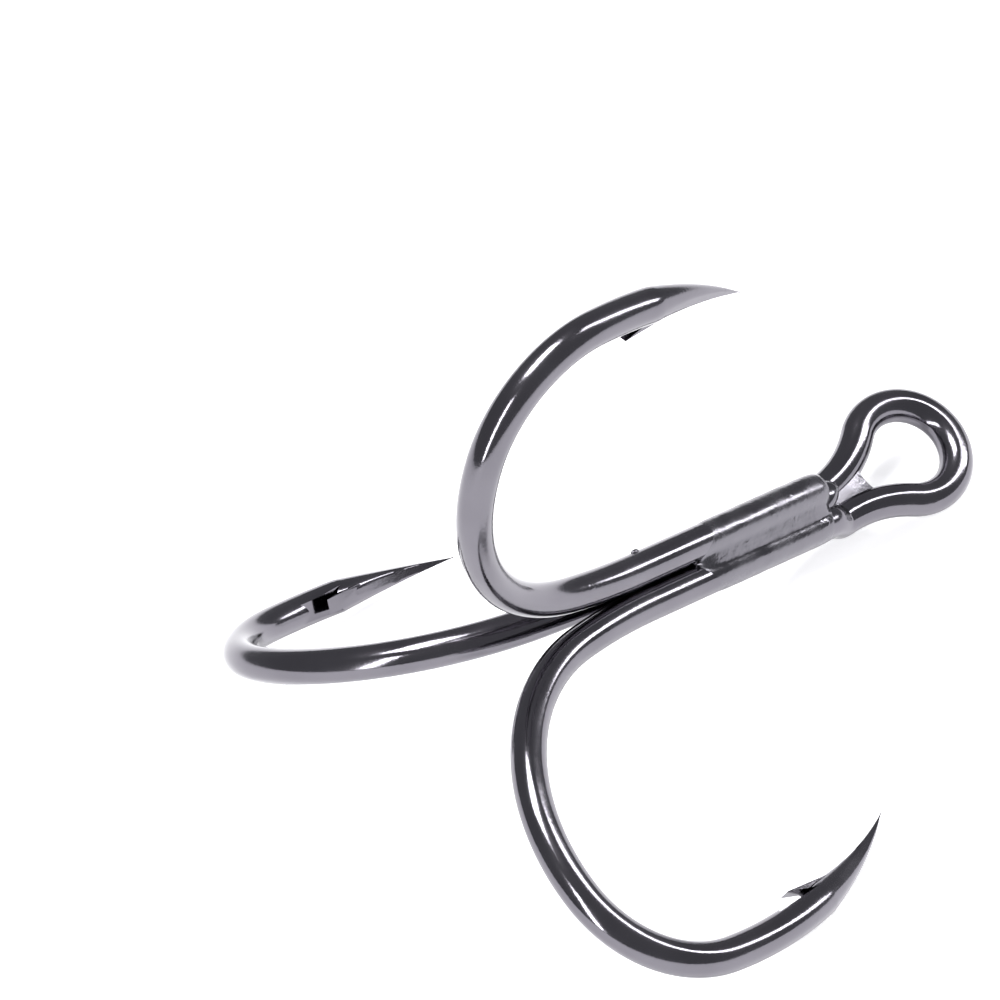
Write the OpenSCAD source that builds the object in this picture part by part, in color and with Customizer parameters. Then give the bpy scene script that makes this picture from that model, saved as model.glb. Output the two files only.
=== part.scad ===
// Treble hook: two bent wires brazed together along one shank.
// One wire makes the eye and two of the hooks, the other wire makes the third hook.
// Frame: the hook lies as it rests on a table, +Z up, +X along the shank towards the eye,
// and the origin is the centre of the eye.

/* [Wire] */
// Diameter of the hook wire
wire_d = 1.1; // [0.8:0.02:1.4]
// Gap between neighbouring shanks, which the braze fills
shank_gap = 0.04; // [0.02:0.01:0.08]

/* [Eye] */
// Diameter of the hole in the eye
eye_hole_d = 2.3; // [1.8:0.05:3.4]
// Radius of the bend that opens each leg of the eye, on the wire's centreline
eye_leg_r = 4.4; // [2.4:0.1:6]
// Angle by which the eye is turned about the shank
eye_turn = 26; // [0:1:35]
// Angle by which the eye leans towards the single hook
eye_lean = 14; // [0:1:20]
// Length over which the two wires turn into the legs of the eye
lead_l = 0.8; // [0.6:0.05:1.4]

/* [Shank] */
// Straight length of the shanks, from the foot of the eye to the start of the bend
shank_l = 9.1; // [6:0.1:14]
// Distance from the foot of the eye to the end of the single hook's wire
single_end = 0.9; // [0.6:0.05:2]
// Chamfer on the end of the single hook's wire
end_chamfer = 0.2; // [0.05:0.01:0.3]

/* [Bend] */
// Radius of the long sweep that starts the bend, on the wire's centreline
sweep_r = 21; // [12:0.5:40]
// Angle of the long sweep
sweep_a = 8.6; // [4:0.1:14]
// Radius of the main bend
bend_r = 6.4; // [4:0.1:9]
// Angle of the main bend
bend_a = 87; // [75:1:95]
// Radius of the tighter heel of the bend
heel_r = 3.9; // [2.5:0.1:5.5]
// Angle of the heel
heel_a = 78.5; // [65:0.5:85]

/* [Fronts and points] */
// Radius of the front of each hook, from the heel to the point
front_r = 13.8; // [10:0.1:25]
// Length of the front of the single hook
single_front_l = 6.6; // [5.5:0.1:10]
// Length of the front of the far hook of the pair
far_front_l = 7.15; // [5:0.05:10]
// Length of the front of the near hook of the pair
near_front_l = 8.45; // [5:0.05:10]
// Length of the flats that are ground on each point
point_l = 4.3; // [3.6:0.1:5.4]
// Angle of the flat ground on the inner side of each point
point_in_a = 16; // [14:0.5:24]
// Angle of the flat ground on the outer side of each point
point_out_a = 6; // [3:0.5:12]
// Angle of the flats ground on the two sides of each point
point_side_a = 9; // [6:0.5:16]
// Width left at the very tip
tip_w = 0.04; // [0.02:0.01:0.1]

/* [Barbs] */
// Distance from the tip of the point to the tip of the barb
barb_back = 4.9; // [3:0.1:5.2]
// Height of the barb's tip above the wire
barb_h = 0.35; // [0.15:0.05:0.6]
// Length of the sliver that is raised to make the barb
barb_l = 1.6; // [1:0.1:2]
// Width of the barb
barb_w = 0.5; // [0.3:0.05:0.8]

/* [Spread] */
// Angle round the shank from straight up to each hook of the pair
pair_a = 118; // [105:1:130]
// Angle round the shank from straight up to the single hook
single_a = -4; // [-12:1:12]

/* [Braze] */
// Length of shank that the braze covers, from the foot of the eye
braze_l = 6.9; // [3:0.1:8]
// Depth of the braze below the line that touches two neighbouring shanks
braze_sink = 0.1; // [0.05:0.01:0.2]
// Height of the braze in the crotch between the legs of the eye
crotch_h = 1.9; // [0.6:0.1:2.2]
// Thickness of the braze in the crotch
crotch_t = 0.7; // [0.4:0.05:1]

/* [Hidden] */
$fn = 48;
collar = 0.004;      // how much wider than the wire the collar that closes each joint is
collar_l = 0.1;      // length of that collar
pitch = wire_d + shank_gap;              // distance between neighbouring shanks' centres
trio_r = pitch / sqrt(3);                // radius of the circle through the three shanks' centres
pair_y = -trio_r / 2;                    // height of the pair of shanks against the common axis
ring_r = (eye_hole_d + wire_d) / 2;      // centreline radius of the eye
leg_a = acos((pitch / 2 + eye_leg_r) / (ring_r + eye_leg_r));  // turn of each leg of the eye
ring_h = (ring_r + eye_leg_r) * sin(leg_a);                    // eye centre above its foot
eye_up = [0, sin(eye_lean), cos(eye_lean)];                    // direction from foot to eye centre
eye_centre = [0, pair_y, 0] + ring_h * eye_up;
eye_normal = [-sin(eye_turn), cos(eye_turn) * cos(eye_lean), -cos(eye_turn) * sin(eye_lean)];
mean_front_l = (far_front_l + near_front_l) / 2;

// Turtle steps in the plane of a hook: p is [outwards, along the shank, heading]
function turned(p, r, a) = [p.x + r * (sin(p.z + a) - sin(p.z)), p.y - r * (cos(p.z + a) - cos(p.z)), p.z + a];
function front_start() =
    turned(turned(turned([0, -shank_l, -90], sweep_r, sweep_a), bend_r, bend_a), heel_r, heel_a);

// How far the pair of hooks and the eye reach down when the shank tips by t
function reach(p, t) = -(pair_y + p.x * cos(pair_a)) * cos(t) + p.y * sin(t);
function front_reach(l, t) =
    let (steps = 12, s = front_start())
    max([for (i = [0 : steps])
        let (q = i / steps, left = l * (1 - q))
        reach(turned(s, front_r, q * l / front_r * 180 / PI), t)
            + min(wire_d / 2, left * tan(point_out_a + 2))]);
function eye_reach(t) =
    let (down = [0, -cos(t), sin(t)])
    eye_centre * down + ring_r * sqrt(1 - pow(eye_normal * down, 2)) + wire_d / 2;
function rest_tilt(low, high, tries) =
    let (mid = (low + high) / 2)
    tries == 0 ? mid
    : front_reach(mean_front_l, mid) > eye_reach(mid) ? rest_tilt(mid, high, tries - 1)
    : rest_tilt(low, mid, tries - 1);
tilt = rest_tilt(0, 50, 20);             // how far the eye's end of the shank drops at rest

// Foot of one leg of the eye, side +1 or -1
function leg_foot(side) = [0, pair_y, 0] + side * pitch / 2
    * [cos(eye_turn), sin(eye_turn) * cos(eye_lean), -sin(eye_turn) * sin(eye_lean)];

// From the shank's own frame, axis along Z and single hook towards Y, to the pose at rest
module laid_down() {
    rotate([0, tilt, 0]) rotate([90, 0, 90]) translate(-eye_centre) children();
}

// Across the wire, which runs along X
module joint_collar() {
    rotate([0, 90, 0]) cylinder(h = collar_l, d = wire_d + collar, center = true);
}
// Straight wire along X, then whatever follows it
module straight(l) {
    rotate([0, 90, 0]) cylinder(h = l, d = wire_d);
    translate([l, 0, 0]) {
        joint_collar();
        children();
    }
}
// Wire that turns left by a, then whatever follows it
module bend(r, a) {
    translate([0, r, 0]) {
        rotate([0, 0, -90]) rotate_extrude(angle = a) translate([r, 0]) circle(d = wire_d);
        rotate([0, 0, a]) translate([0, -r, 0]) children();
    }
}
// Straight wire from one point to another, with a ball at each end
module lead(from, to) {
    run = to - from;
    translate(from) rotate([0, acos(run.z / norm(run)), atan2(run.y, run.x)]) cylinder(h = norm(run), d = wire_d);
    for (end = [from, to]) translate(end) sphere(d = wire_d + collar);
}

// A block that takes off what lies beyond a flat, which starts at the tip and leans by a
module flat_cut(a) {
    rotate([0, 0, -a]) translate([-point_l, tip_w / 2, -wire_d]) cube([point_l + wire_d, 2 * wire_d, 2 * wire_d]);
}
// The sliver raised on the inner side, in the frame of the tip
module barb() {
    rise = barb_back * barb_back / (2 * front_r) + wire_d / 2;
    root = barb_back - barb_l;
    linear_extrude(barb_w, center = true) polygon([
        [-root, root * tan(point_in_a) - 0.05],
        [-barb_back, rise + barb_h],
        [-barb_back + barb_l / 2, rise - wire_d * 0.4],
        [-root, root * tan(point_in_a) - 0.3]]);
}
// The nick that the sliver leaves behind it
module barb_nick() {
    rise = barb_back * barb_back / (2 * front_r) + wire_d / 2;
    linear_extrude(wire_d, center = true) polygon([
        [-barb_back + barb_l / 2, rise - wire_d * 0.3],
        [-barb_back, rise + barb_h],
        [-barb_back - 0.4, rise + barb_h]]);
}
// Front of a hook: a curved length of wire, ground to a point and barbed
module front(l) {
    a = l / front_r * 180 / PI;
    difference() {
        bend(front_r, a);
        translate([0, front_r, 0]) rotate([0, 0, a]) translate([0, -front_r, 0]) {
            flat_cut(point_in_a);
            mirror([0, 1, 0]) flat_cut(point_out_a);
            for (side = [-90, 90]) rotate([side, 0, 0]) flat_cut(point_side_a);
            barb_nick();
        }
    }
    translate([0, front_r, 0]) rotate([0, 0, a]) translate([0, -front_r, 0]) barb();
}
// One hook from the start of its bend to its point
module hook(l) {
    joint_collar();
    bend(sweep_r, sweep_a) {
        joint_collar();
        bend(bend_r, bend_a) {
            joint_collar();
            bend(heel_r, heel_a) {
                joint_collar();
                front(l);
            }
        }
    }
}
// Puts a hook at the end of the shank, out in the direction a round from straight up
module at_bend(a) {
    translate([0, 0, -shank_l]) rotate([0, 0, 90 - a]) rotate([90, 0, 0]) rotate([0, 0, -90]) children();
}
// One shank of the pair, side +1 or -1
module pair_shank(side) {
    translate([side * pitch / 2, pair_y, -shank_l]) cylinder(h = shank_l - lead_l, d = wire_d);
}
module single_shank() {
    l = shank_l - single_end - end_chamfer;
    translate([0, trio_r, -shank_l]) {
        cylinder(h = l, d = wire_d);
        translate([0, 0, l]) cylinder(h = end_chamfer, d1 = wire_d, d2 = wire_d - 2 * end_chamfer);
    }
}
// The eye with its legs, and the leads that join the legs to the pair of shanks
module eye() {
    for (side = [-1, 1]) lead([side * pitch / 2, pair_y, -lead_l], leg_foot(side));
    translate([0, pair_y, 0]) rotate([-eye_lean, 0, 0]) rotate([0, 0, eye_turn]) rotate([90, 0, 0]) {
        translate([0, ring_h, 0]) rotate([0, 0, -leg_a])
            rotate_extrude(angle = 180 + 2 * leg_a) translate([ring_r, 0]) circle(d = wire_d);
        for (side = [0, 1]) mirror([side, 0, 0]) {
            translate([pitch / 2 + eye_leg_r, 0, 0]) rotate([0, 0, 180 - leg_a])
                rotate_extrude(angle = leg_a) translate([eye_leg_r, 0]) circle(d = wire_d);
            translate([0, ring_h, 0]) rotate([0, 0, -leg_a]) translate([ring_r, 0, 0])
                rotate([0, 0, 90]) joint_collar();
        }
    }
}

module double_hook_wire() {
    color([0.24, 0.23, 0.26]) laid_down() {
        eye();
        for (side = [-1, 1]) {
            pair_shank(side);
            translate([side * pitch / 2, pair_y, 0]) at_bend(side * pair_a)
                hook(side > 0 ? far_front_l : near_front_l);
        }
    }
}
module single_hook_wire() {
    color([0.27, 0.26, 0.29]) laid_down() {
        single_shank();
        translate([0, trio_r, 0]) at_bend(single_a) hook(single_front_l);
    }
}
// Braze in the grooves between the shanks and in the crotch of the eye
module braze_joint() {
    reach_out = trio_r / 2 + wire_d / 2 - braze_sink;
    top = single_end + end_chamfer + 0.05;
    color([0.38, 0.37, 0.4]) laid_down() difference() {
        union() {
            translate([0, 0, -braze_l]) linear_extrude(braze_l - top)
                polygon([for (g = [30, 150, 270], side = [-1, 1])
                    [reach_out * cos(g) - side * pitch / 2 * sin(g),
                     reach_out * sin(g) + side * pitch / 2 * cos(g)]]);
            translate([0, pair_y, 0]) rotate([-eye_lean, 0, 0]) rotate([0, 0, eye_turn])
                translate([-pitch / 2, -crotch_t / 2, -0.4])
                cube([pitch, crotch_t, crotch_h + 0.4]);
            translate([-0.45 * pitch, pair_y - 0.27 * wire_d, -top - 0.2])
                cube([0.9 * pitch, 0.54 * wire_d, top - 0.1]);
        }
        for (side = [-1, 1]) pair_shank(side);
        single_shank();
        eye();
    }
}
double_hook_wire();
single_hook_wire();
braze_joint();
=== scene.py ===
"""Treble hook: two bent wires, plated in black nickel and brazed together along one shank."""
import math

import bmesh
import bpy
from bpy.props import FloatProperty, FloatVectorProperty, PointerProperty
from mathutils import Matrix, Vector, noise


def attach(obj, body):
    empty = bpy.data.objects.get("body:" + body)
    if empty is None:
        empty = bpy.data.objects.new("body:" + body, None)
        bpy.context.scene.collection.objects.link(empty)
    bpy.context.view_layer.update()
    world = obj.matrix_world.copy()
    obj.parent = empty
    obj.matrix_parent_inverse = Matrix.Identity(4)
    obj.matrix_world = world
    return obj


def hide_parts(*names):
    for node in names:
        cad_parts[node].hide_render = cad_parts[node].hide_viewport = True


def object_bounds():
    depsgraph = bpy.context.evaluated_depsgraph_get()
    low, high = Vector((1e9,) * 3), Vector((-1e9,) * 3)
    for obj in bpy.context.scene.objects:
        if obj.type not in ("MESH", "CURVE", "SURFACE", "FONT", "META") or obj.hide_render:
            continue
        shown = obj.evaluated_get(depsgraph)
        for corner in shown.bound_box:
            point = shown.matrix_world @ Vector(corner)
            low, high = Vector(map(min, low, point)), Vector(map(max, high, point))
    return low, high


bl_info = {
    "name": "Treble Hook",
    "version": (1, 0, 0),
    "blender": (4, 5, 0),
    "location": "3D View > Sidebar > Treble Hook",
    "description": "Builds a plated treble hook from bent wire, with its braze and a studio stage",
    "category": "Object",
}

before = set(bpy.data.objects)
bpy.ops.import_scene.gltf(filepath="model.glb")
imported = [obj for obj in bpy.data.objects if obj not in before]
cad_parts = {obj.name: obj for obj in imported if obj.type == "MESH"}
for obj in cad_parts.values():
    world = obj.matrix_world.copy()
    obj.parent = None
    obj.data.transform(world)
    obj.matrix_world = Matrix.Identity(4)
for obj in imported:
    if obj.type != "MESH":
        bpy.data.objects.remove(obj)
CAD_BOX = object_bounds()
MM = 0.001
RING_SIDES = 40         # facets round the wire
SMOOTH_ANGLE = 32.0     # degrees: facets that meet more sharply than this keep a crisp edge
TAPER = 0.92            # power of the point's taper: 1 would be a plain cone


def length(name, text, default_mm):
    return FloatProperty(name=name, description=text, default=default_mm * MM, subtype="DISTANCE",
                         unit="LENGTH", precision=5)


def angle(name, text, default_degrees):
    return FloatProperty(name=name, description=text, default=math.radians(default_degrees),
                         subtype="ANGLE", unit="ROTATION")


def tint(name, text, default):
    return FloatVectorProperty(name=name, description=text, default=default, size=4, subtype="COLOR",
                               min=0.0, max=1.0)


class HookSizes(bpy.types.PropertyGroup):
    """Sizes of the two wires, their bends, points and barbs."""
    wire_d: length("Wire", "Diameter of the hook wire", 1.1)
    shank_gap: length("Shank gap", "Gap between neighbouring shanks, which the braze fills", 0.04)
    eye_hole_d: length("Eye hole", "Diameter of the hole in the eye", 2.3)
    eye_leg_r: length("Eye legs", "Radius of the bend that opens each leg of the eye", 4.4)
    eye_turn: angle("Eye turn", "Angle by which the eye is turned about the shank", 26.0)
    eye_lean: angle("Eye lean", "Angle by which the eye leans towards the single hook", 14.0)
    lead_l: length("Lead", "Length over which the wires turn into the legs of the eye", 0.8)
    shank_l: length("Shank", "Straight length of the shanks", 9.1)
    single_end: length("Single end", "Distance from the foot of the eye to the single wire's end", 0.9)
    sweep_r: length("Sweep radius", "Radius of the long sweep that starts the bend", 21.0)
    sweep_a: angle("Sweep angle", "Angle of the long sweep", 8.6)
    bend_r: length("Bend radius", "Radius of the main bend", 6.4)
    bend_a: angle("Bend angle", "Angle of the main bend", 87.0)
    heel_r: length("Heel radius", "Radius of the tighter heel of the bend", 3.9)
    heel_a: angle("Heel angle", "Angle of the heel", 78.5)
    front_r: length("Front radius", "Radius of the front of each hook", 13.8)
    single_front_l: length("Single front", "Length of the front of the single hook", 6.6)
    far_front_l: length("Far front", "Length of the front of the far hook of the pair", 7.15)
    near_front_l: length("Near front", "Length of the front of the near hook of the pair", 8.45)
    point_l: length("Point", "Length over which the wire tapers to its point", 4.3)
    tip_w: length("Tip", "Width left at the very tip", 0.04)
    barb_back: length("Barb place", "Distance from the tip of the point to the tip of the barb", 4.9)
    barb_h: length("Barb height", "Height of the barb's tip above the wire", 0.35)
    barb_l: length("Barb length", "Length of the sliver that makes the barb", 1.6)
    barb_w: length("Barb width", "Width of the barb", 0.5)
    pair_a: angle("Pair spread", "Angle from straight up to each hook of the pair", 118.0)
    single_a: angle("Single lean", "Angle from straight up to the single hook", -4.0)
    tilt: angle("Rest tilt", "How far the eye's end of the shank drops at rest", 20.853)
    braze_l: length("Braze", "Length of shank that the braze covers", 6.9)
    crotch_h: length("Crotch", "Height of the braze between the legs of the eye", 1.9)
    braze_film: length("Braze film", "Thickness of the braze where it runs thin over the wires", 0.022)


class HookFinish(bpy.types.PropertyGroup):
    """Colours of the plating and of the stage."""
    plating: tint("Plating", "Black nickel where it is clean", (0.175, 0.168, 0.188, 1.0))
    plating_dark: tint("Plating, dark", "Black nickel where it is thickest", (0.12, 0.114, 0.13, 1.0))
    braze: tint("Braze", "Plated braze", (0.175, 0.17, 0.188, 1.0))
    braze_dark: tint("Braze, dark", "Braze where the plating is thickest", (0.115, 0.11, 0.125, 1.0))
    floor: tint("Floor", "Pale floor of the studio", (0.9, 0.9, 0.91, 1.0))


def verts_of(edges):
    return list(dict.fromkeys(v for e in edges for v in e.verts))


def start_ring(bm, radius, sides, matrix):
    """A circle to grow a skin from, as its edges."""
    made = bmesh.ops.create_circle(bm, cap_ends=False, radius=radius, segments=sides, matrix=matrix)
    return list(dict.fromkeys(e for v in made["verts"] for e in v.link_edges))


def grow_ring(bm, ring):
    """Extrudes an open ring. Returns the new ring's edges and vertices, which lie on the old one."""
    old = set(verts_of(ring))
    made = bmesh.ops.extrude_edge_only(bm, edges=ring)
    grown = [g for g in made["geom"] if isinstance(g, bmesh.types.BMEdge)
             and not any(v in old for v in g.verts)]
    return grown, verts_of(grown)


class WirePath:
    """Grows a round wire from ring to ring: straight, round a bend, or gliding to a new heading.

    The path's own axes are the heading, the side that a bend turns towards, and their cross product.
    """

    def __init__(self, bm, place, heading, side, radius):
        self.bm = bm
        self.place = Vector(place)
        self.heading = Vector(heading).normalized()
        self.side = Vector(side).normalized()
        turn = Matrix((self.side, self.heading.cross(self.side), self.heading)).transposed().to_4x4()
        self.ring = start_ring(bm, radius, RING_SIDES, Matrix.Translation(self.place) @ turn)

    def step(self, move, turn=None):
        self.ring, verts = grow_ring(self.bm, self.ring)
        if turn is not None:
            bmesh.ops.rotate(self.bm, cent=self.place, matrix=turn, verts=verts)
        bmesh.ops.translate(self.bm, vec=move, verts=verts)
        self.place = self.place + move

    def straight(self, distance, steps=1):
        for _ in range(steps):
            self.step(self.heading * (distance / steps))

    def bend(self, radius, turn, steps, towards=1):
        side = self.side * towards
        axis = self.heading.cross(side)
        centre = self.place + side * radius
        made = bmesh.ops.spin(self.bm, geom=self.ring, cent=centre, axis=axis, angle=turn, steps=steps,
                              use_merge=False, use_duplicate=False)
        self.ring = [g for g in made["geom_last"] if isinstance(g, bmesh.types.BMEdge)]
        spun = Matrix.Rotation(turn, 3, axis)
        self.place = centre + spun @ (self.place - centre)
        self.heading = spun @ self.heading
        self.side = spun @ self.side

    def glide(self, place, heading, steps):
        """A smooth S-bend to a new place and heading."""
        start, first = self.place.copy(), self.heading.copy()
        place, last = Vector(place), Vector(heading).normalized()
        pull = (place - start).length
        for i in range(1, steps + 1):
            t = i / steps
            spot = ((2 * t**3 - 3 * t**2 + 1) * start + (t**3 - 2 * t**2 + t) * pull * first
                    + (-2 * t**3 + 3 * t**2) * place + (t**3 - t**2) * pull * last)
            way = ((6 * t**2 - 6 * t) * start + (3 * t**2 - 4 * t + 1) * pull * first
                   + (-6 * t**2 + 6 * t) * place + (3 * t**2 - 2 * t) * pull * last).normalized()
            turn = self.heading.rotation_difference(way).to_matrix()
            self.step(spot - self.place, turn)
            self.heading = way
        self.side = (self.side - self.heading * self.side.dot(self.heading)).normalized()

    def face(self, side):
        """Sets which way the next bend turns."""
        side = Vector(side)
        self.side = (side - self.heading * side.dot(self.heading)).normalized()

    def axes(self):
        """Matrix from the path's own axes to the model, at the path's place."""
        turn = Matrix((self.heading, self.side, self.heading.cross(self.side))).transposed().to_4x4()
        return Matrix.Translation(self.place) @ turn


def eye_axes(s):
    """The eye's across, through and up directions, in the shank's frame."""
    lean = Matrix.Rotation(-s.eye_lean, 3, "X")
    turn = Matrix.Rotation(s.eye_turn, 3, "Z")
    return (lean @ turn @ Vector((1, 0, 0)), lean @ turn @ Vector((0, 1, 0)), lean @ Vector((0, 0, 1)))


def eye_shape(s):
    """Pitch of the shanks, ring radius, turn of a leg, eye centre above its foot, height of the pair."""
    pitch = s.wire_d + s.shank_gap
    ring_r = (s.eye_hole_d + s.wire_d) / 2
    leg_a = math.acos((pitch / 2 + s.eye_leg_r) / (ring_r + s.eye_leg_r))
    ring_h = (ring_r + s.eye_leg_r) * math.sin(leg_a)
    return pitch, ring_r, leg_a, ring_h, -pitch / math.sqrt(3) / 2


def laid_down(s):
    """From the shank's frame, axis along Z and single hook towards Y, to the pose at rest."""
    _pitch, _ring_r, _leg_a, ring_h, pair_y = eye_shape(s)
    centre = Vector((0, pair_y, 0)) + eye_axes(s)[2] * ring_h
    upright = Matrix.Rotation(math.radians(90), 4, "Z") @ Matrix.Rotation(math.radians(90), 4, "X")
    return Matrix.Rotation(s.tilt, 4, "Y") @ upright @ Matrix.Translation(-centre)


def grow_point(s, path, steps=30):
    """Tapers the last length of wire to a point, with a flat inside and a flat on each side.

    Returns the axes at the tip.
    """
    full = s.wire_d / 2
    inner_at_tip, side_at_tip = 0.62, 0.78      # how far out the flats lie at the tip, against the radius
    before = full
    for i in range(1, steps + 1):
        path.bend(s.front_r, s.point_l / s.front_r / steps, 1)
        left = 1 - i / steps
        radius = max(full * left**TAPER, s.tip_w / 2)
        verts = verts_of(path.ring)
        bmesh.ops.scale(path.bm, vec=Vector((1, 1, 1)) * (radius / before), verts=verts,
                        space=Matrix.Translation(-path.place))
        inner_flat = radius * (inner_at_tip + (1 - inner_at_tip) * left)
        side_flat = radius * (side_at_tip + (1 - side_at_tip) * left)
        lateral = path.heading.cross(path.side)
        for v in verts:
            out = v.co - path.place
            inner, off = out.dot(path.side), out.dot(lateral)
            if inner > inner_flat:
                v.co -= path.side * (inner - inner_flat)
            if abs(off) > side_flat:
                v.co -= lateral * math.copysign(abs(off) - side_flat, off)
        before = radius
    bmesh.ops.contextual_create(path.bm, geom=path.ring)
    return path.axes()


def prism(name, corners, width, place):
    """A flat outline given a width, at a place, as an object of its own."""
    bm = bmesh.new()
    face = bm.faces.new([bm.verts.new((x, y, -width / 2)) for x, y in corners])
    made = bmesh.ops.extrude_face_region(bm, geom=[face])
    top = [g for g in made["geom"] if isinstance(g, bmesh.types.BMVert)]
    bmesh.ops.translate(bm, vec=(0, 0, width), verts=top)
    bmesh.ops.recalc_face_normals(bm, faces=bm.faces)
    bmesh.ops.transform(bm, matrix=place, verts=bm.verts)
    return to_object(name, bm)


def barb_tools(s, place):
    """The sliver that a barb adds, and the nick that it leaves behind it.

    Both are drawn at the tip's axes, where a point at distance q lies q squared over 2 front_r inwards.
    """
    root = s.barb_back - s.barb_l
    root_sink, root_t = 0.08 * MM, 0.15 * MM        # the sliver's root lies just under the skin
    low = root**2 / (2 * s.front_r) + s.wire_d / 2 * min(1.0, (root / s.point_l)**TAPER) - root_sink
    skin = s.barb_back**2 / (2 * s.front_r) + s.wire_d / 2
    barb_tip = (-s.barb_back, skin + s.barb_h)
    sliver_foot, nick_foot = 0.4 * s.wire_d, 0.36 * s.wire_d
    nick_l, nick_w = 0.9 * MM, s.wire_d * 1.1
    nick_from = s.barb_l * 0.45
    sliver = prism("sliver", [(-root, low), barb_tip, (-s.barb_back + s.barb_l / 2, skin - sliver_foot),
                              (-root, low - root_t)], s.barb_w, place)
    nick = prism("nick", [(-s.barb_back + nick_from, skin - nick_foot), barb_tip,
                          (-s.barb_back - nick_l, skin + s.barb_h)], nick_w, place)
    return sliver, nick


def to_object(name, bm):
    """Makes a linked object of a bmesh, and frees the bmesh."""
    mesh = bpy.data.meshes.new(name)
    bm.to_mesh(mesh)
    bm.free()
    piece = bpy.data.objects.new(name, mesh)
    bpy.context.scene.collection.objects.link(piece)
    return piece


def shape_with(piece, tool, operation):
    """Adds a tool's shape to a piece, or takes it away, and removes the tool.

    Both are put in millimetres first, where the solver has figures to spare.
    """
    for part in (piece, tool):
        part.data.transform(Matrix.Scale(1 / MM, 4))
    joint = piece.modifiers.new("shape", "BOOLEAN")
    joint.operation = operation
    joint.object = tool
    joint.solver = "EXACT"
    result = bpy.data.meshes.new_from_object(piece.evaluated_get(bpy.context.evaluated_depsgraph_get()))
    result.transform(Matrix.Scale(MM, 4))
    piece.modifiers.clear()
    old = piece.data
    piece.data = result
    result.name = piece.name
    bpy.data.meshes.remove(old)
    tool_mesh = tool.data
    bpy.data.objects.remove(tool)
    bpy.data.meshes.remove(tool_mesh)


def finish_mesh(piece, material):
    """Clean, outward faces, smooth but for its real edges, in one material."""
    bm = bmesh.new()
    bm.from_mesh(piece.data)
    bmesh.ops.remove_doubles(bm, verts=bm.verts, dist=0.0005 * MM)
    bmesh.ops.dissolve_degenerate(bm, edges=bm.edges, dist=0.0002 * MM)
    bmesh.ops.recalc_face_normals(bm, faces=bm.faces)
    for face in bm.faces:
        face.smooth = True
        face.material_index = 0
    bm.to_mesh(piece.data)
    bm.free()
    piece.data.set_sharp_from_angle(angle=math.radians(SMOOTH_ANGLE))
    piece.data.materials.clear()
    piece.data.materials.append(material)


def outwards(a):
    """Direction out from the shank, at an angle from straight up towards the far side."""
    return Vector((math.sin(a), math.cos(a), 0))


def add_hook(s, path, a, front_l):
    """Bend, heel and front of one hook. Returns its point's axes."""
    path.face(outwards(a))
    path.bend(s.sweep_r, s.sweep_a, 8)
    path.bend(s.bend_r, s.bend_a, 40)
    path.bend(s.heel_r, s.heel_a, 40)
    path.bend(s.front_r, (front_l - s.point_l) / s.front_r, 10)
    return grow_point(s, path)


def raise_barbs(s, piece, points, flat):
    """Cuts the nick and raises the barb behind each point, whose axes are given."""
    for axes in points:
        sliver, nick = barb_tools(s, flat @ axes)
        shape_with(piece, nick, "DIFFERENCE")
        shape_with(piece, sliver, "UNION")


def build_double_wire(s):
    """One wire: the eye, two shanks and the pair of hooks, grown both ways from the crown of the eye."""
    pitch, ring_r, leg_a, ring_h, pair_y = eye_shape(s)
    across, _through, up = eye_axes(s)
    foot = Vector((0, pair_y, 0))
    bm = bmesh.new()
    points = []
    for side, front_l in ((1, s.far_front_l), (-1, s.near_front_l)):
        path = WirePath(bm, foot + up * (ring_h + ring_r), across * side, -up, s.wire_d / 2)
        path.bend(ring_r, math.radians(90) + leg_a, 44)
        path.bend(s.eye_leg_r, leg_a, 16, towards=-1)
        path.glide((side * pitch / 2, pair_y, -s.lead_l), (0, 0, -1), 10)
        path.straight(s.shank_l - s.lead_l, 20)
        points.append(add_hook(s, path, side * s.pair_a, front_l))
    bmesh.ops.remove_doubles(bm, verts=bm.verts, dist=0.001 * MM)
    flat = laid_down(s)
    bmesh.ops.transform(bm, matrix=flat, verts=bm.verts)
    bmesh.ops.recalc_face_normals(bm, faces=bm.faces)
    piece = to_object("double_wire", bm)
    raise_barbs(s, piece, points, flat)
    return piece


def build_single_wire(s):
    """The second wire: one shank with its hook, and a rounded end by the eye."""
    crown = 0.16 * MM       # how far the end of the wire is rounded
    start = Vector((0, (s.wire_d + s.shank_gap) / math.sqrt(3), -s.single_end - crown))
    bm = bmesh.new()
    path = WirePath(bm, start, (0, 0, -1), (0, 1, 0), s.wire_d / 2)
    path.straight(s.shank_l - s.single_end - crown, 18)
    points = [add_hook(s, path, s.single_a, s.single_front_l)]
    round_end(bm, [e for e in bm.edges if e.is_boundary], start, crown)
    flat = laid_down(s)
    bmesh.ops.transform(bm, matrix=flat, verts=bm.verts)
    bmesh.ops.recalc_face_normals(bm, faces=bm.faces)
    piece = to_object("single_wire", bm)
    raise_barbs(s, piece, points, flat)
    add_burr(s, piece, flat)
    return piece


def add_burr(s, piece, flat):
    """The small burr on top of the single shank, just before its bend."""
    burr_r, burr_half_l = 0.09 * MM, 0.16 * MM
    bm = bmesh.new()
    top = outwards(math.radians(30)) * s.wire_d / 2
    centre = Vector((0, (s.wire_d + s.shank_gap) / math.sqrt(3), -s.shank_l)) + top
    place = flat @ Matrix.Translation(centre) @ Matrix.Diagonal((burr_r, burr_r, burr_half_l, 1.0))
    bmesh.ops.create_icosphere(bm, subdivisions=3, radius=1.0, matrix=place)
    shape_with(piece, to_object("burr", bm), "UNION")


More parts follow.
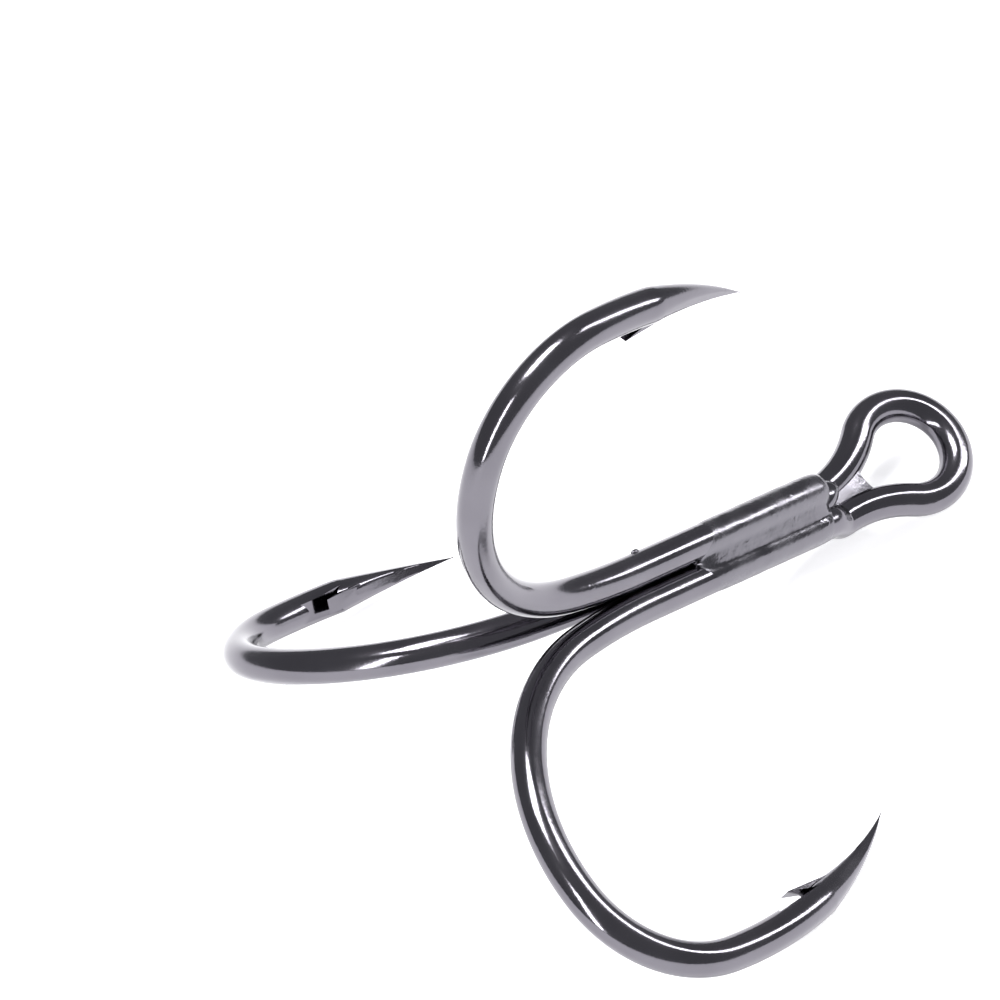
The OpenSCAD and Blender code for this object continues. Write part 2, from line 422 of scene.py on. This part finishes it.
def round_end(bm, ring, centre, crown):
    """Closes the end of a wire with a low rounded crown."""
    steps, sweep = 6, math.radians(80)
    rounding = 0.45         # share of the radius that the crown's edge takes up

    def width(t):
        return 1 - rounding * (1 - math.cos(t))

    for i in range(1, steps + 1):
        ring, verts = grow_ring(bm, ring)
        t, before = i / steps * sweep, (i - 1) / steps * sweep
        shrink = width(t) / width(before)
        bmesh.ops.scale(bm, vec=(shrink, shrink, 1), space=Matrix.Translation(-centre), verts=verts)
        bmesh.ops.translate(bm, vec=(0, 0, crown * (math.sin(t) - math.sin(before))), verts=verts)
    bmesh.ops.contextual_create(bm, geom=ring)


def braze_radius(s, around, sink):
    """Distance from the common axis to the braze's skin: wires thinly coated, grooves filled smoothly."""
    centre_r = (s.wire_d + s.shank_gap) / math.sqrt(3)
    wire_r = s.wire_d / 2 + s.braze_film
    blend, fullness = 0.13 * MM, 0.35       # width and strength of the fillet where wire and groove meet
    wires = centre_r / 2
    for k in range(3):
        off = around - k * math.radians(120)
        inside = wire_r**2 - (centre_r * math.sin(off))**2
        if inside > 0 and math.cos(off) > 0:
            wires = max(wires, centre_r * math.cos(off) + math.sqrt(inside))
    groove = centre_r / 2 + s.wire_d / 2 - sink
    return max(wires, groove) + blend * math.exp(-abs(wires - groove) / blend) * fullness


def fading(distance, depth, reach):
    """A depth that dies away with the distance from an end."""
    return depth * math.exp(-distance / reach)


def shape_braze(s, bm, low, high):
    """Draws a plain tube in to the braze's skin, which fades into the wires at its two ends.

    Figures are in millimetres. Each pair is a depth at an end, and the reach over which it dies away.
    """
    groove_sink, low_sink, high_sink = 0.04, (0.40, 0.12), (0.10, 0.3)
    low_fade, high_fade = (0.09, 0.45), (0.07, 0.15)
    ragged_by, ragged_scale = 0.35, 0.9         # how unevenly the lower end runs out
    lump_h, lump_scale = 0.006, 2.2
    grain_h, grain_scale = 0.001, 6.5
    for v in bm.verts:
        around = math.atan2(v.co.x, v.co.y)
        from_low, from_high = (v.co.z - low) / MM, (high - v.co.z) / MM
        spot = Vector((math.sin(around), math.cos(around), v.co.z / MM))
        ragged = max(from_low + ragged_by * noise.noise(spot * ragged_scale), 0.0)
        sink = groove_sink + fading(from_low, *low_sink) + fading(from_high, *high_sink)
        fade = fading(ragged, *low_fade) + fading(max(from_high, 0.0), *high_fade)
        lumps = lump_h * noise.noise(spot * lump_scale) + grain_h * noise.noise(spot * grain_scale)
        radius = braze_radius(s, around, sink * MM) + (lumps - fade) * MM
        v.co.x, v.co.y = math.sin(around) * radius, math.cos(around) * radius
    for _ in range(2):
        bmesh.ops.smooth_vert(bm, verts=[v for v in bm.verts if not v.is_boundary], factor=0.5,
                              use_axis_x=True, use_axis_y=True, use_axis_z=False)


def build_braze(s):
    """Braze round the three shanks, with the web in the eye's crotch and the slope down to it."""
    short_by, plain_r = 0.02 * MM, 1.0 * MM     # stops just short of the wire's end; any radius will do
    low, high = -s.braze_l, -s.single_end - short_by
    rings, sides = 130, 160
    bm = bmesh.new()
    first = start_ring(bm, plain_r, sides, Matrix.Translation((0, 0, low)))
    ring = first
    for _ in range(rings):
        ring, verts = grow_ring(bm, ring)
        bmesh.ops.translate(bm, vec=(0, 0, (high - low) / rings), verts=verts)
    shape_braze(s, bm, low, high)
    for end in (first, ring):
        bmesh.ops.contextual_create(bm, geom=end)
    add_crotch(s, bm)
    add_meniscus(s, bm)
    bmesh.ops.transform(bm, matrix=laid_down(s), verts=bm.verts)
    bmesh.ops.recalc_face_normals(bm, faces=bm.faces)
    return to_object("braze", bm)


def add_meniscus(s, bm):
    """The slope of braze from the single wire's end down to the legs of the eye."""
    lean = Matrix.Rotation(math.radians(-24), 4, "X")
    rise, past_end = 0.14 * MM, 0.02 * MM
    place = Matrix.Translation((0, rise, -s.single_end + past_end)) @ lean
    half_w, half_t, half_l = 0.56 * MM, 0.44 * MM, 0.95 * MM
    size = Matrix.Diagonal((half_w, half_t, half_l, 1.0))
    bmesh.ops.create_icosphere(bm, subdivisions=5, radius=1.0, matrix=place @ size)


def add_crotch(s, bm):
    """The web of braze that fills the crotch between the legs of the eye."""
    pitch, _ring_r, _leg_a, _ring_h, pair_y = eye_shape(s)
    low, high = -0.45 * MM, s.crotch_h
    foot_half_t, thinning = 0.42 * MM, 0.06 * MM    # half the web's thickness, and what it loses upwards
    rim_from, rim_drop = 0.6, 0.35 * MM             # where the top edge starts to sag, and how far it does
    waist = 0.10                                    # share of its thickness that it loses midway across
    rim_curve, rim_round = 0.75, 0.4 * MM           # how far the rim's rounding goes, and its depth
    inside_leg = 0.97                               # the web's sides stay just inside the legs' centrelines
    web = bmesh.new()
    bmesh.ops.create_cube(web, size=2.0)
    bmesh.ops.subdivide_edges(web, edges=web.edges, cuts=14, use_grid_fill=True)
    for v in web.verts:
        across_by, through_by, share = v.co.x, v.co.y, (v.co.z + 1) / 2
        height = low + (high - low) * share
        leg = pitch / 2
        if height > 0:
            leg += s.eye_leg_r - math.sqrt(s.eye_leg_r**2 - height**2)
        hollow = 1 - across_by**2
        half_t = (foot_half_t - thinning * share) * (1 - waist * hollow)
        rim = max(share - rim_from, 0) / (1 - rim_from)
        rounded = math.sqrt(max(1 - (rim_curve * abs(through_by) * rim)**2, 0.0))
        height -= hollow * rim_drop * rim + (1 - rounded) * rim_round
        v.co = Vector((across_by * leg * inside_leg, through_by * half_t, height))
    turn = Matrix(eye_axes(s)).transposed().to_4x4()
    bmesh.ops.transform(web, matrix=Matrix.Translation((0, pair_y, 0)) @ turn, verts=web.verts)
    mesh = bpy.data.meshes.new("web")
    web.to_mesh(mesh)
    web.free()
    bm.from_mesh(mesh)
    bpy.data.meshes.remove(mesh)


def plating_marks():
    """Cloudy film, fine grain and dust specks of a plated metal, as a mask and a height."""
    tree = bpy.data.node_groups.new("Plating Marks", "ShaderNodeTree")
    tree.interface.new_socket("Vector", in_out="INPUT", socket_type="NodeSocketVector")
    for name in ("Cloud Scale", "Grain Scale", "Speck Scale"):
        tree.interface.new_socket(name, in_out="INPUT", socket_type="NodeSocketFloat")
    for name in ("Cloud", "Height"):
        tree.interface.new_socket(name, in_out="OUTPUT", socket_type="NodeSocketFloat")
    nodes, links = tree.nodes, tree.links
    inside, outside = nodes.new("NodeGroupInput"), nodes.new("NodeGroupOutput")
    cloud, grain, speck = (nodes.new("ShaderNodeTexNoise") for _ in range(3))
    for tex, scale, detail in ((cloud, "Cloud Scale", 4.0), (grain, "Grain Scale", 2.0),
                               (speck, "Speck Scale", 1.0)):
        tex.inputs["Detail"].default_value = detail
        links.new(inside.outputs["Vector"], tex.inputs["Vector"])
        links.new(inside.outputs[scale], tex.inputs["Scale"])
    speck_from, speck_full, speck_h = 0.70, 0.76, 0.8       # only the peaks of the noise are specks
    few = nodes.new("ShaderNodeMapRange")
    few.inputs["From Min"].default_value = speck_from
    few.inputs["From Max"].default_value = speck_full
    links.new(speck.outputs["Fac"], few.inputs["Value"])
    height = nodes.new("ShaderNodeMath")
    height.operation = "MULTIPLY_ADD"
    height.inputs[1].default_value = speck_h
    links.new(few.outputs["Result"], height.inputs[0])
    links.new(grain.outputs["Fac"], height.inputs[2])
    links.new(cloud.outputs["Fac"], outside.inputs["Cloud"])
    links.new(height.outputs["Value"], outside.inputs["Height"])
    return tree


def metal(name, marks, clean, dark, rough, bump, scales):
    """A plated metal: its colour and gloss follow the plating's marks."""
    material = bpy.data.materials.new(name)
    material.use_nodes = True
    nodes, links = material.node_tree.nodes, material.node_tree.links
    shader = nodes["Principled BSDF"]
    shader.inputs["Metallic"].default_value = 1.0
    where = nodes.new("ShaderNodeTexCoord")
    worn = nodes.new("ShaderNodeGroup")
    worn.node_tree = marks
    for socket, value in zip(("Cloud Scale", "Grain Scale", "Speck Scale"), scales):
        worn.inputs[socket].default_value = value
    links.new(where.outputs["Object"], worn.inputs["Vector"])
    shade = nodes.new("ShaderNodeMix")
    shade.data_type = "RGBA"
    share, first, second, mixed = shade.inputs[0], shade.inputs[6], shade.inputs[7], shade.outputs[2]
    first.default_value = dark
    second.default_value = clean
    links.new(worn.outputs["Cloud"], share)
    links.new(mixed, shader.inputs["Base Color"])
    gloss = nodes.new("ShaderNodeMapRange")
    gloss.inputs["From Min"].default_value = 0.3
    gloss.inputs["From Max"].default_value = 0.7
    gloss.inputs["To Min"].default_value = rough[0]
    gloss.inputs["To Max"].default_value = rough[1]
    links.new(worn.outputs["Cloud"], gloss.inputs["Value"])
    links.new(gloss.outputs["Result"], shader.inputs["Roughness"])
    relief = nodes.new("ShaderNodeBump")
    relief.inputs["Strength"].default_value = bump[0]
    relief.inputs["Distance"].default_value = bump[1]
    links.new(worn.outputs["Height"], relief.inputs["Height"])
    links.new(relief.outputs["Normal"], shader.inputs["Normal"])
    return material


def shared_marks():
    return bpy.data.node_groups.get("Plating Marks") or plating_marks()


def black_nickel(f):
    found = bpy.data.materials.get("Black Nickel")
    return found or metal("Black Nickel", shared_marks(), f.plating, f.plating_dark,
                          rough=(0.09, 0.20), bump=(0.18, 0.01 * MM), scales=(450.0, 9000.0, 1700.0))


def plated_braze(f):
    return metal("Plated Braze", shared_marks(), f.braze, f.braze_dark, rough=(0.10, 0.34),
                 bump=(0.22, 0.03 * MM), scales=(900.0, 5000.0, 2600.0))


class HOOK_OT_double_wire(bpy.types.Operator):
    """Bends the wire that makes the eye and the pair of hooks"""
    bl_idname = "treble_hook.double_wire"
    bl_label = "Double Hook Wire"

    def execute(self, context):
        scene = context.scene
        piece = build_double_wire(scene.hook_sizes)
        finish_mesh(piece, black_nickel(scene.hook_finish))
        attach(piece, "root")
        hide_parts("double_hook_wire")
        return {"FINISHED"}


class HOOK_OT_single_wire(bpy.types.Operator):
    """Bends the wire that makes the single hook"""
    bl_idname = "treble_hook.single_wire"
    bl_label = "Single Hook Wire"

    def execute(self, context):
        scene = context.scene
        piece = build_single_wire(scene.hook_sizes)
        finish_mesh(piece, black_nickel(scene.hook_finish))
        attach(piece, "root")
        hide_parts("single_hook_wire")
        return {"FINISHED"}


class HOOK_OT_braze(bpy.types.Operator):
    """Flows the braze between the three shanks"""
    bl_idname = "treble_hook.braze"
    bl_label = "Braze"

    def execute(self, context):
        scene = context.scene
        piece = build_braze(scene.hook_sizes)
        finish_mesh(piece, plated_braze(scene.hook_finish))
        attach(piece, "root")
        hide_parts("braze_joint")
        return {"FINISHED"}


def add_floor(f, height):
    """A pale paper floor that glows a little, so that shadows stay faint."""
    half_side = 0.6
    bm = bmesh.new()
    bmesh.ops.create_grid(bm, x_segments=2, y_segments=2, size=half_side)
    bmesh.ops.translate(bm, vec=(0, 0, height), verts=bm.verts)
    floor = to_object("floor", bm)
    paper = bpy.data.materials.new("Pale Paper")
    paper.use_nodes = True
    sheet = paper.node_tree.nodes["Principled BSDF"].inputs
    sheet["Base Color"].default_value = f.floor
    sheet["Roughness"].default_value = 0.9
    sheet["Emission Color"].default_value = f.floor
    sheet["Emission Strength"].default_value = 0.65
    floor.data.materials.append(paper)


def add_softbox(name, place, target, size, power):
    """A rectangular softbox that faces a target."""
    lamp = bpy.data.lights.new(name, "AREA")
    lamp.shape = "RECTANGLE"
    lamp.size, lamp.size_y = size
    lamp.energy = power
    box = bpy.data.objects.new(name, lamp)
    box.location = place
    box.rotation_euler = (Vector(target) - Vector(place)).to_track_quat("-Z", "Y").to_euler()
    bpy.context.scene.collection.objects.link(box)


def add_camera():
    """A long lens, from the near side and above, with a slight roll."""
    azimuth, elevation, roll = math.radians(-37.2), math.radians(47.1), math.radians(-10.0)
    distance = 160.5 * MM
    back = Vector((math.sin(azimuth) * math.cos(elevation), -math.cos(azimuth) * math.cos(elevation),
                   math.sin(elevation)))
    right = Vector((math.cos(azimuth), math.sin(azimuth), 0))
    up = back.cross(right)
    rolled_right = right * math.cos(roll) + up * math.sin(roll)
    rolled_up = up * math.cos(roll) - right * math.sin(roll)
    shanks = Vector((-0.03, 0.0, -0.55)) * MM       # a place on the shanks' common axis, by the eye
    aside, below = 13.06 * MM, 1.14 * MM            # how far left of it and under it the view is centred
    aim = shanks - rolled_right * aside - rolled_up * below
    data = bpy.data.cameras.new("camera")
    data.lens = 180.0
    data.sensor_width = 36.0
    data.clip_start = 0.01
    data.clip_end = 10.0
    camera = bpy.data.objects.new("camera", data)
    turn = Matrix((rolled_right, rolled_up, back)).transposed().to_4x4()
    camera.matrix_world = Matrix.Translation(aim + back * distance) @ turn
    bpy.context.scene.collection.objects.link(camera)
    bpy.context.scene.camera = camera


class HOOK_OT_stage(bpy.types.Operator):
    """Sets the pale floor, the softboxes and the camera"""
    bl_idname = "treble_hook.stage"
    bl_label = "Stage"

    def execute(self, context):
        scene = context.scene
        add_camera()
        add_floor(scene.hook_finish, CAD_BOX[0][2])
        middle = (-0.01, 0, 0)
        add_softbox("top_softbox", (-0.02, 0.05, 0.30), middle, size=(0.16, 0.10), power=1.0)
        add_softbox("left_strip", (-0.30, -0.10, 0.16), middle, size=(0.05, 0.30), power=0.7)
        add_softbox("right_strip", (0.26, -0.12, 0.20), middle, size=(0.05, 0.26), power=0.6)
        world = bpy.data.worlds.new("studio")
        world.use_nodes = True
        world.node_tree.nodes["Background"].inputs["Color"].default_value = (0.75, 0.76, 0.8, 1.0)
        world.node_tree.nodes["Background"].inputs["Strength"].default_value = 0.38
        scene.world = world
        scene.view_settings.view_transform = "Standard"
        return {"FINISHED"}


class HOOK_PT_panel(bpy.types.Panel):
    """Lists the hook's operators and sizes"""
    bl_idname = "HOOK_PT_panel"
    bl_label = "Treble Hook"
    bl_space_type = "VIEW_3D"
    bl_region_type = "UI"
    bl_category = "Treble Hook"

    def draw(self, context):
        for operator in BUILD_ORDER:
            self.layout.operator(operator.bl_idname)
        for group in (context.scene.hook_sizes, context.scene.hook_finish):
            for name in group.__annotations__:
                self.layout.prop(group, name)


BUILD_ORDER = (HOOK_OT_stage, HOOK_OT_double_wire, HOOK_OT_single_wire, HOOK_OT_braze)
CLASSES = (HookSizes, HookFinish, *BUILD_ORDER, HOOK_PT_panel)


def register():
    for cls in CLASSES:
        bpy.utils.register_class(cls)
    bpy.types.Scene.hook_sizes = PointerProperty(type=HookSizes)
    bpy.types.Scene.hook_finish = PointerProperty(type=HookFinish)


def unregister():
    del bpy.types.Scene.hook_finish
    del bpy.types.Scene.hook_sizes
    for cls in reversed(CLASSES):
        bpy.utils.unregister_class(cls)


def main():
    register()
    bpy.ops.treble_hook.stage()
    bpy.ops.treble_hook.double_wire()
    bpy.ops.treble_hook.single_wire()
    bpy.ops.treble_hook.braze()


if __name__ == "__main__":
    main()
